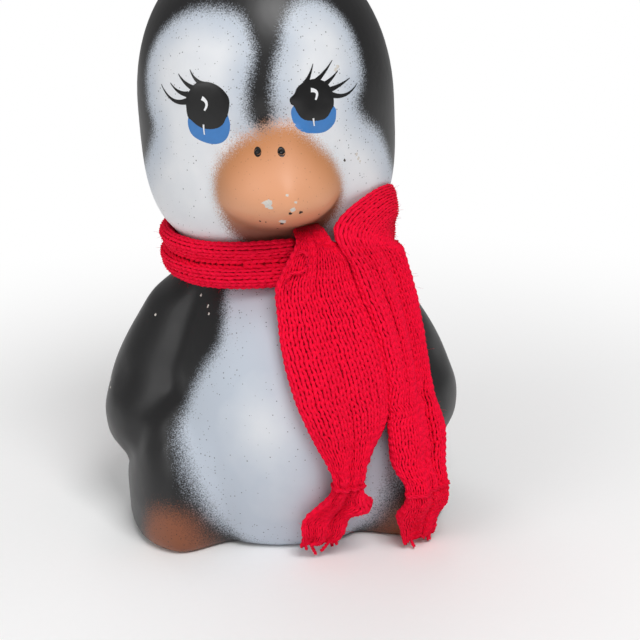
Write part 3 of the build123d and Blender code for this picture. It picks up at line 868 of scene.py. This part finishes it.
def eased(points, count):
    """Open smooth path along given points."""
    path = np.asarray(points, float)
    for _ in range(3):
        near = 0.75 * path[:-1] + 0.25 * path[1:]
        far = 0.25 * path[:-1] + 0.75 * path[1:]
        cut = np.stack([near, far], 1).reshape(-1, path.shape[1])
        path = np.concatenate([path[:1], cut, path[-1:]])
    return places_along(path, np.arange(len(path)), np.linspace(0, len(path) - 1, count))


def outer_radius(trees, bearing, z):
    """Distance from the axis to the outermost of several surfaces."""
    out = Vector((sin(radians(bearing)), -cos(radians(bearing)), 0))
    start = out * RAY_START * MM + Vector((0, 0, z * MM))
    hits = [tree.ray_cast(start, -out)[0] for tree in trees]
    return max(hypot(hit.x, hit.y) for hit in hits if hit is not None) / MM


# Edges of the scarf where it turns from the neck down into the side tail, as bearing and height
TURN_UPPER_EDGE = ((108, 83), (98, 86), (88, 90), (78, 94), (67, 96.8), (55, 97.8), (42, 96.8), (28, 94.8),
                   (19.5, 91.6), (22.5, 86.5), (29, 81))
TURN_LOWER_EDGE = ((108, 74.6), (99, 75), (91, 75.6), (84, 76.4), (78, 77.3), (73, 78.3),
                   (68.5, 79.2), (65, 80),
                   (62, 80.5), (60.5, 81))
TURN_GAP = 0.3
TURN_EDGE = 1.0         # thickness at the edge that lies against the cheek
TURN_MIDDLE = 5.0
TURN_FALL = 1.0         # how far the lower edge hangs clear of the band


def turned_cloth(hanging, casting, band, rows=40):
    """Puts the turn from the neck on to a hanging tail. It starts in the band and lies against the cheek."""
    upper = eased(TURN_UPPER_EDGE, rows)
    lower = eased(TURN_LOWER_EDGE, rows)
    shares = np.linspace(0, 1, 15)
    places = upper[:, None] * (1 - shares[:, None]) + lower[:, None] * shares[:, None]
    progress = np.arange(rows) / (rows - 1)
    sink = np.interp(progress, (0, 0.12, 0.28, 1), (5.0, 3.0, 1.2, 0.6))
    fall = np.interp(progress, (0.15, 0.45, 1), (0, TURN_FALL, 0))
    rest = np.array([[max(outer_radius([casting], *place),
                          outer_radius([band, casting], *place) - TURN_MIDDLE - drop)
                      for place in row] for row, drop in zip(places, sink)])
    for _ in range(10):
        padded = np.pad(rest, 1, mode="edge")
        around = (padded[:-2, 1:-1] + padded[2:, 1:-1] + padded[1:-1, :-2] + padded[1:-1, 2:]) / 4
        rest = np.maximum(rest, (rest + around) / 2)
    rings = []
    for row in range(rows):
        edge = np.interp(progress[row], (0, 0.65, 1), (TURN_EDGE, TURN_EDGE, TURN_MIDDLE))
        ring = []
        for turn in np.arange(SECTION_POINTS) * 2 * pi / SECTION_POINTS:
            across = (1 - cos(turn)) / 2
            side = 1 if sin(turn) >= 0 else -1
            bearing, z = upper[row] * (1 - across) + lower[row] * across
            thickness = np.interp(across, (0, 0.5), (edge, TURN_MIDDLE))
            lift = TURN_GAP + thickness / 2 * (1 + side * abs(sin(turn)) ** 0.6)
            radius = np.interp(across, shares, rest[row]) + lift + fall[row] * across
            ring.append((radius * sin(radians(bearing)), -radius * cos(radians(bearing)), z))
        rings.append(np.array(ring))
    turn = even_rings(rings, hanging.shape[1])
    below = hanging[hanging[:, :, 2].mean(1) < TURN_UPPER_EDGE[-1][1] - 1]
    # The second half of the turn moves out to meet the tail
    ease = np.clip((progress - 0.5) / 0.5, 0, 1)
    ease = ease ** 2 * (3 - 2 * ease)
    out = turn * (1, 1, 0)
    reach = np.linalg.norm(out, axis=2, keepdims=True)
    step = np.hypot(below[0, :, 0], below[0, :, 1]) - reach[-1, :, 0]
    turn += out / reach * (ease[:, None] * step)[..., None]
    points = np.concatenate([turn, below])
    first, last = rows - 6, rows + 6
    for _ in range(8):
        points[first:last] = (points[first - 1:last - 1] + points[first:last]
                              + points[first + 1:last + 1]) / 3
    return points


def nearness(points, around, along, width, run, power=2):
    """Weight of each point of a strip round a place on it, from 1 there to 0 far away."""
    rows, columns, _ = points.shape
    a = (np.arange(columns) / columns - around + 0.5) % 1.0 - 0.5
    b = np.arange(rows) / (rows - 1) - along
    return (np.exp(-(b[:, None] / run) ** power) * np.exp(-(a[None, :] / width) ** 2))[..., None]


def widened(points, around, along, run, reach):
    """Draws one long edge of a strip out sideways, or in where reach is below 0."""
    edge = points[:, round(around * points.shape[1]) % points.shape[1]] - points.mean(1)
    edge /= np.linalg.norm(edge, axis=1, keepdims=True)
    return points + edge[:, None] * (reach * nearness(points, around, along, 0.09, run, power=4))


def narrowed(points, share, low, high):
    """Draws the top of the front tail in from the left, as it comes out from under the chin."""
    right = points[:, points.shape[1] // 2][:, None]
    rise = np.clip((points[:, :, 2].mean(1) - low) / (high - low), 0, 1)[:, None, None]
    return right + (points - right) * (1 - share * rise * (1, 1, 0))


def closed_end(points, steps=5):
    """Rounds the first end of a strip off, as a fold does."""
    ring = points[0]
    columns = len(ring)
    middle = (ring + ring[-np.arange(columns) % columns]) / 2
    half = np.linalg.norm(ring - middle, axis=1).max()
    ahead = ring.mean(0) - points[2].mean(0)
    ahead /= np.linalg.norm(ahead)
    rows = []
    for turn in np.linspace(0.47 * pi, 0, steps, endpoint=False):
        rows.append(middle + (ring - middle) * cos(turn) + ahead * half * sin(turn))
    return np.concatenate([rows, points])


def tucked(points, reach, rise, steps=6):
    """Leads the first end of a strip up and in towards the neck, under the chin."""
    out = points[0] * (1, 1, 0)
    out /= np.linalg.norm(out, axis=1, keepdims=True)
    rows = [points[0] + np.array((0, 0, rise)) * share - out * reach * share ** 2
            for share in np.linspace(1, 0, steps, endpoint=False)]
    return np.concatenate([rows, points])


def gathered(points, along, run, count, depth):
    """Draws a strip into pleats round a waist or a loose end."""
    rows, columns, _ = points.shape
    weight = np.exp(-((np.arange(rows) / (rows - 1) - along) / run) ** 2)
    wave = np.cos(2 * pi * count * np.arange(columns) / columns)
    return points + Cloth(points).normals * (depth * weight[:, None] * wave)[..., None]


def snug(points, tree):
    """Draws the band in towards the neck and lets it sag at the left and back, clear of the casting."""
    x, y, z = points.reshape(-1, 3).T
    radius = np.hypot(x, y)
    bearing = np.degrees(np.arctan2(x, -y)) % 360
    low = z - np.interp(bearing, BAND_BEARINGS, BAND_SAG)
    free = np.array([outer_radius([tree], b, h) for b, h in zip(bearing, low)]) + BAND_GAP
    ease = np.interp(bearing, BAND_BEARINGS, BAND_EASE)
    drawn = np.maximum(radius - ease, np.minimum(free, radius + 1.0))
    angle = np.radians(bearing)
    return np.stack([drawn * np.sin(angle), -drawn * np.cos(angle), low], 1).reshape(points.shape)


def pressed(points, around, along, width, run, depth):
    """Presses a soft lengthwise valley into the cloth, or a ridge where depth is below 0."""
    return points - Cloth(points).normals * (depth * nearness(points, around, along, width, run))


# A stitch leg, in shares of a wale across, of a course along and of the yarn's half thickness in height
LEG_OFFSET = 0.245
LEG_LEAN = 0.15
LEG_GIRTH = 0.225
LEG_REACH = 0.92
LEG_ARCH = 0.55
LEG_BURIED = 0.25
SPINDLE_STEPS = np.array([-0.62, 0.0, 0.62])
SPINDLE_GIRTH = np.array([0.74, 1.0, 0.8])
SPINDLE_SIDES = 6


def spindle():
    """Unit stitch leg with two tips: shares along it, angles round it, girths and faces."""
    angles = -pi / 2 + np.arange(SPINDLE_SIDES) * 2 * pi / SPINDLE_SIDES
    along = np.concatenate([[-1.0], np.repeat(SPINDLE_STEPS, SPINDLE_SIDES), [1.0]])
    girth = np.concatenate([[0.0], np.repeat(SPINDLE_GIRTH, SPINDLE_SIDES), [0.0]])
    turn = np.concatenate([[0.0], np.tile(angles, len(SPINDLE_STEPS)), [0.0]])
    tip = len(along) - 1
    faces = []
    for j in range(SPINDLE_SIDES):
        k = (j + 1) % SPINDLE_SIDES
        faces.append([0, 1 + k, 1 + j])
        for ring in range(len(SPINDLE_STEPS) - 1):
            a = 1 + ring * SPINDLE_SIDES
            faces.append([a + j, a + k, a + SPINDLE_SIDES + k, a + SPINDLE_SIDES + j])
        faces.append([tip, tip - SPINDLE_SIDES + j, tip - SPINDLE_SIDES + k])
    return along, turn, girth, faces


def knitted(cloth, knit, wales, courses, seed):
    """Stitch legs in V pairs all over a cloth: points, faces and the yarn attribute."""
    chance = np.random.default_rng(seed)
    along, turn, girth, unit = spindle()
    wale, course, side = (g.ravel() for g in np.meshgrid(np.arange(wales), np.arange(courses), (-1, 1)))
    count = len(wale)
    yarn = knit.yarn / MM
    drop = chance.normal(0, 0.06, count)
    slide = chance.normal(0, 0.022, count)
    plump = chance.normal(1.0, 0.07, count)
    lean = chance.normal(LEG_LEAN, 0.02, count)
    across = side[:, None] * (LEG_OFFSET + lean[:, None] * along) + slide[:, None]
    across = across + LEG_GIRTH * plump[:, None] * np.cos(turn) * girth
    a = (wale[:, None] + 0.5 + across) / wales
    b = (course[:, None] + 0.5 + drop[:, None] - LEG_REACH * along) / courses
    arch = LEG_ARCH * (1 - along ** 2) - LEG_BURIED
    height = yarn * (arch + plump[:, None] * np.sin(turn) * girth) - knit.sink / MM
    points = cloth.at(a, b, height).reshape(-1, 3)
    size = len(along)
    faces = []
    for leg in range(count):
        first = leg * size
        faces += [[first + k for k in face] for face in unit]
    tint = np.repeat(chance.random(count), size)
    attribute = np.stack([np.tile(turn / (2 * pi) + 0.25, count), np.tile(along, count), tint], 1)
    return points, faces, attribute


OBLIQUE = np.array([0.31, 0.17, 0.94])  # a direction that no strand follows


def across_strand(path):
    """Two directions across a path at each of its points."""
    heading = np.gradient(path, axis=0)
    heading /= np.linalg.norm(heading, axis=1, keepdims=True) + 1e-9
    side = np.cross(heading, OBLIQUE)
    side /= np.linalg.norm(side, axis=1, keepdims=True) + 1e-9
    return side, np.cross(heading, side)


def tube(path, radius, sides):
    """Points and faces of a closed-ended tube along a path of points, with its yarn attribute."""
    path = np.asarray(path, float)
    radius = np.broadcast_to(radius, len(path))
    side, other = across_strand(path)
    turns = np.arange(sides) * 2 * pi / sides
    ring = side[:, None] * np.cos(turns)[:, None] + other[:, None] * np.sin(turns)[:, None]
    points = (path[:, None] + ring * radius[:, None, None]).reshape(-1, 3)
    run = np.repeat(np.linspace(0, 1, len(path)), sides)
    attribute = np.stack([np.tile(turns / (2 * pi), len(path)), run, np.full(len(points), 0.3)], 1)
    return points, closed_grid(len(path), sides), attribute


def fibres(cloth, count, seed):
    """Stray fibres that stand off the cloth: thin curved hairs of three sides."""
    chance = np.random.default_rng(seed)
    made = []
    for _ in range(count):
        a, b = chance.random(2)
        root = cloth.at(a, b * 0.96, -0.2)
        out = cloth.at(a, b * 0.96, 0.8) - root
        bend = chance.normal(0, 1.0, 3)
        reach = chance.uniform(0.4, 1.5)
        steps = np.linspace(0, 1, 4)[:, None]
        path = root + out * reach * 0.6 * (steps - 0.35 * steps ** 2) + bend * reach * 0.55 * steps ** 2
        made.append(tube(path, np.linspace(0.04, 0.02, 4), 3))
    return made


def joined(parts):
    """One set of points, faces and yarn attribute from several."""
    points, faces, attributes = zip(*parts)
    firsts = np.cumsum([0] + [len(part) for part in points]).tolist()
    shifted = [[first + k for k in face] for first, part in zip(firsts, faces) for face in part]
    return np.concatenate(points), shifted, np.concatenate(attributes)


def yarn_piece(name, parts, material):
    points, faces, attribute = joined(parts)
    made = new_piece(name, points, faces, material)
    store(made, "yarn", attribute, "FLOAT_VECTOR")
    return made


def plied(path, radius, strands=3, pitch=4.5, closed=False):
    """Twisted strands of a yarn along a path."""
    path = np.asarray(path, float)
    run = lengths_along(path)
    step = 0.35
    marks = np.linspace(0, run[-1], max(8, int(run[-1] / step)))
    line = places_along(path, run, marks)
    side, other = across_strand(line)
    turns = round(run[-1] / pitch) if closed else run[-1] / pitch
    made = []
    for strand in range(strands):
        angle = 2 * pi * (strand / strands + turns * marks / run[-1])[:, None]
        offset = side * np.cos(angle) + other * np.sin(angle)
        made.append(tube(line + offset * radius * 0.52, radius * 0.5, 5))
    return made


def materials_of_scarf(context):
    knit = context.scene.figurine_knit
    yarn = bpy.data.materials.get("acrylic_yarn") or acrylic_yarn(knit)
    backing = bpy.data.materials.get("shaded_yarn_backing") or shaded_yarn_backing(knit)
    return knit, yarn, backing


def knit_piece(context, name, points, node_name, seed, trimmings=lambda cloth: []):
    """Cloth and stitches that stand for one packed cloth solid."""
    knit, yarn, backing = materials_of_scarf(context)
    cloth = Cloth(points)
    girth = np.linalg.norm(points - np.roll(points, 1, 1), axis=2).sum(1).max()
    wales = round(girth / (knit.wale / MM))
    run = np.linalg.norm(np.diff(points.mean(1), axis=0), axis=1).sum()
    courses = round(run / (knit.course / MM))
    # The cloth under the stitches is coloured darker red as painted shade between the stitch legs
    base = new_piece(name + "_cloth", *cloth.backing(knit.sink / MM + 0.35), backing)
    parts = [knitted(cloth, knit, wales, courses, seed), *fibres(cloth, knit.fibres, seed), *trimmings(cloth)]
    stitches = yarn_piece(name + "_stitches", parts, yarn)
    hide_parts(node_name)
    return base, stitches, cloth


class FIGURINE_OT_neck_band(bpy.types.Operator):
    """Knits the folded band round the neck"""

    bl_idname = "figurine.neck_band"
    bl_label = "Scarf neck band"

    def execute(self, context):
        points = wrapped_cloth(frame["nodes"]["scarf_neck_band"])
        points = snug(points, tree_of(bpy.data.objects["painted_casting"]))
        points = pressed(points, around=0.055, along=0.85, width=0.022, run=0.3, depth=1.3)
        base, stitches, _ = knit_piece(context, "neck_band", points,
                                       "scarf_neck_band", 11)
        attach(base, BODY)
        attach(stitches, BODY)
        return {"FINISHED"}


def follow_tail(made, cloth, levels):
    """Finds the middle of a tail at two heights, and bakes a piece's place into its mesh."""
    heights = cloth.points[:, :, 2].mean(1)
    start, end = (Vector(cloth.points[np.abs(heights - level).argmin()].mean(0)) * MM for level in levels)
    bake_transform(made)


def frayed(cloth, shares, seed):
    """Short yarn ends that stick out of the last row of a strip, at shares round it."""
    chance = np.random.default_rng(seed)
    made = []
    for share in shares:
        root = cloth.at(share, 0.975, -0.6)
        ahead = root - cloth.at(share, 0.93, -0.6)
        ahead /= np.linalg.norm(ahead)
        reach = chance.uniform(2.2, 4.2)
        bend = chance.normal(0, 0.45, 3)
        path = [root + (ahead * t + bend * t ** 2) * reach for t in np.linspace(0, 1, 6)]
        path = [np.maximum(place, (-np.inf, -np.inf, 0.8)) for place in path]
        made += plied(path, 0.5, pitch=3.0)
    return made


def pulled_loop(cloth):
    """Loop of yarn that was pulled out of the front tail and lies on it as a loose S."""
    path = eased(((0.055, 0.085), (0.10, 0.072), (0.15, 0.085), (0.165, 0.115), (0.125, 0.135), (0.07, 0.13),
                  (0.045, 0.155), (0.085, 0.18)), 40)
    lift = 0.75 - 0.5 * np.abs(np.linspace(-1, 1, 40)) ** 4
    return plied(cloth.at(path[:, 0], path[:, 1], lift), 0.5, pitch=3.0)


def front_trimmings(cloth):
    return frayed(cloth, (0.02, 0.08, 0.15, 0.24, 0.33, 0.42, 0.55, 0.7, 0.85), 41) + pulled_loop(cloth)


def side_trimmings(cloth):
    return frayed(cloth, (0.06, 0.2, 0.38, 0.6, 0.8), 43)


class FIGURINE_OT_scarf_tails(bpy.types.Operator):
    """Knits the two hanging tails with their ties and yarn ends"""

    bl_idname = "figurine.scarf_tails"
    bl_label = "Scarf tails"

    def execute(self, context):
        nodes = frame["nodes"]
        for name, points, levels, seed, trimmings in (
                ("front_tail", self.front(nodes), (85, 72), 21, front_trimmings),
                ("side_tail", self.side(nodes), (82, 70), 31, side_trimmings)):
            base, stitches, cloth = knit_piece(context, name, points, f"scarf_{name}",
                                               seed, trimmings)
            self.tie(context, name, cloth)
            for made in (base, stitches):
                follow_tail(made, cloth, levels)
        self.loose_end(context)
        return {"FINISHED"}

    def front(self, nodes):
        """Front tail: rolled left edge, pleats at the waist, a curled knob beside it and a flared end."""
        points = hanging_cloth(nodes["scarf_front_tail"])
        points = widened(points, around=0.5, along=0.36, run=0.36, reach=0.5)
        points = narrowed(points, 0.3, 76, 89)
        points = pressed(points, around=0.1, along=0.4, width=0.03, run=0.3, depth=0.7)
        points = pressed(points, around=0.36, along=0.3, width=0.06, run=0.25, depth=0.9)
        points = gathered(points, along=0.79, run=0.08, count=8, depth=0.5)
        points = pressed(points, around=0.41, along=0.87, width=0.09, run=0.033, depth=-4.5)
        points = gathered(points, along=1.0, run=0.08, count=5, depth=0.8)
        points = tucked(points, reach=4.5, rise=2.6)
        return even_rows(closed_end(points[::-1])[::-1], 84)

    def side(self, nodes):
        """Side tail: a turn from the neck, a rolled left edge, a deep fold and a pouch at its end."""
        points = hanging_cloth(nodes["scarf_side_tail"])
        points = pressed(points, around=0.31, along=0.68, width=0.035, run=0.17, depth=2.4)
        points = gathered(points, along=0.84, run=0.05, count=7, depth=0.5)
        points = gathered(points, along=1.0, run=0.06, count=4, depth=0.7)
        points = widened(points, around=0.0, along=0.4, run=0.3, reach=1.7)
        points = widened(points, around=0.5, along=0.09, run=0.14, reach=-3.0)
        points = turned_cloth(points, tree_of(bpy.data.objects["painted_casting"]),
                              tree_of(nodes["scarf_neck_band"]))
        points = even_rows(points, 110)
        points = pressed(points, around=0.12, along=0.48, width=0.03, run=0.16, depth=1.1)
        points = pressed(points, around=0.04, along=0.48, width=0.05, run=0.2, depth=-1.3)
        return even_rows(closed_end(points[::-1])[::-1], 116)

    def tie(self, context, name, cloth):
        """Yarn drawn tight round the waist of a tail."""
        _, yarn, _ = materials_of_scarf(context)
        node_name = f"{name}_tie"
        low, high = (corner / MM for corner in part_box(node_name))
        level = (low.z + high.z) / 2
        row = int(np.abs(cloth.points[:, :, 2].mean(1) - level).argmin())
        loop = cloth.points[row] + cloth.normals[row] * 0.1
        loop = np.concatenate([loop, loop[:1]])
        made = yarn_piece(f"{name}_yarn_tie", plied(loop, radius=0.6, closed=True), yarn)
        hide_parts(node_name)
        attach(made, name)

    def loose_end(self, context):
        """Cut yarn end under the side tail."""
        _, yarn, _ = materials_of_scarf(context)
        low, high = (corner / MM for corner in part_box("loose_yarn_end"))
        middle = (low + high) / 2
        path = [(middle.x - 0.6, middle.y + 0.2, high.z + 1.6), (middle.x - 0.3, middle.y, high.z - 0.4),
                (middle.x + 0.3, middle.y - 0.2, middle.z), (middle.x + 0.2, middle.y - 0.5, low.z + 0.5)]
        made = yarn_piece("loose_yarn", plied(path, radius=0.75), yarn)
        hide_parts("loose_yarn_end")
        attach(made, "side_tail")


class FIGURINE_OT_stage(bpy.types.Operator):
    """Sets up the camera, the pale floor and soft studio light"""

    bl_idname = "figurine.stage"
    bl_label = "Stage"

    def execute(self, context):
        stage = context.scene.figurine_stage
        self.floor(stage)
        self.camera(context, stage)
        self.light("key_light", (0.22, -0.62, 0.95), size=0.5, power=7.0)
        self.light("fill_light", (-0.8, -0.55, 0.5), size=0.6, power=2.4)
        self.light("back_light", (-0.1, 0.7, 0.9), size=0.7, power=2.6)
        self.backdrop(context)
        context.scene.view_settings.view_transform = "Standard"
        return {"FINISHED"}

    def backdrop(self, context):
        """White backdrop that lights the figurine less than it shows."""
        world = context.scene.world or bpy.data.worlds.new("studio")
        context.scene.world = world
        world.use_nodes = True
        tree = world.node_tree
        sky = tree.nodes["Background"]
        sky.inputs["Color"].default_value = linear("FFFFFF")
        seen = node(tree, "LightPath").outputs["Is Camera Ray"]
        level = 0.29
        strength = node(tree, "MapRange", None, {0: seen, 3: level, 4: 1.0}).outputs[0]
        tree.links.new(strength, sky.inputs["Strength"])

    def floor(self, stage):
        bpy.ops.object.select_all(action="DESELECT")
        bpy.ops.mesh.primitive_plane_add(size=8.0, location=(0, 0, 0))
        made = bpy.context.active_object
        made.name = "floor"
        made.data.materials.append(pale_paper(stage.floor))

    def camera(self, context, stage):
        """Camera at the photographed angle, turned so that the figurine sits left of and above the middle."""
        aim = Vector((0, 0, 78.0 * MM))
        aim_pixel = (275.0, 240.0)
        middle_pixel = 320.0
        a, e = stage.azimuth, stage.elevation
        back = Vector((sin(a) * cos(e), -cos(a) * cos(e), sin(e)))
        right = Vector((0, 0, 1)).cross(back).normalized()
        up = back.cross(right)
        axes = Matrix((right, up, back)).transposed()
        turn = (Matrix.Rotation(stage.roll, 3, "Z")
                @ Matrix.Rotation(-atan((middle_pixel - aim_pixel[0]) / stage.focal_pixels), 3, "Y")
                @ Matrix.Rotation(-atan((middle_pixel - aim_pixel[1]) / stage.focal_pixels), 3, "X"))
        lens = bpy.data.cameras.new("camera")
        lens.sensor_width = 36.0
        lens.lens = stage.focal_pixels / (2 * middle_pixel) * lens.sensor_width
        made = bpy.data.objects.new("camera", lens)
        made.matrix_world = (axes @ turn).to_4x4()
        made.location = aim + back * stage.distance
        context.collection.objects.link(made)
        context.scene.camera = made

    def light(self, name, place, size, power):
        lamp = bpy.data.lights.new(name, "AREA")
        lamp.size = size
        lamp.energy = power
        made = bpy.data.objects.new(name, lamp)
        made.location = place
        aim = Vector((0, 0, 0.08)) - made.location
        made.rotation_euler = aim.to_track_quat("-Z", "Y").to_euler()
        bpy.context.collection.objects.link(made)


OPERATORS = (FIGURINE_OT_casting, FIGURINE_OT_eyes, FIGURINE_OT_wear, FIGURINE_OT_neck_band,
             FIGURINE_OT_scarf_tails, FIGURINE_OT_stage)


class FIGURINE_PT_panel(bpy.types.Panel):
    """Pieces and settings of the figurine"""

    bl_label = "Figurine"
    bl_idname = "FIGURINE_PT_panel"
    bl_space_type = "VIEW_3D"
    bl_region_type = "UI"
    bl_category = "Figurine"

    def draw(self, context):
        for operator in OPERATORS:
            self.layout.operator(operator.bl_idname)
        for group in ("figurine_paint", "figurine_knit", "figurine_stage"):
            settings = getattr(context.scene, group)
            box = self.layout.box()
            for name in settings.__annotations__:
                box.prop(settings, name)


CLASSES = (PaintSettings, KnitSettings, StageSettings, *OPERATORS, FIGURINE_PT_panel)


def register():
    for made in CLASSES:
        bpy.utils.register_class(made)
    bpy.types.Scene.figurine_paint = PointerProperty(type=PaintSettings)
    bpy.types.Scene.figurine_knit = PointerProperty(type=KnitSettings)
    bpy.types.Scene.figurine_stage = PointerProperty(type=StageSettings)


def unregister():
    del bpy.types.Scene.figurine_paint
    del bpy.types.Scene.figurine_knit
    del bpy.types.Scene.figurine_stage
    for made in reversed(CLASSES):
        bpy.utils.unregister_class(made)


def main():
    register()
    bpy.ops.figurine.casting()
    bpy.ops.figurine.eyes()
    bpy.ops.figurine.wear()
    bpy.ops.figurine.neck_band()
    bpy.ops.figurine.scarf_tails()
    bpy.ops.figurine.stage()


if __name__ == "__main__":
    main()
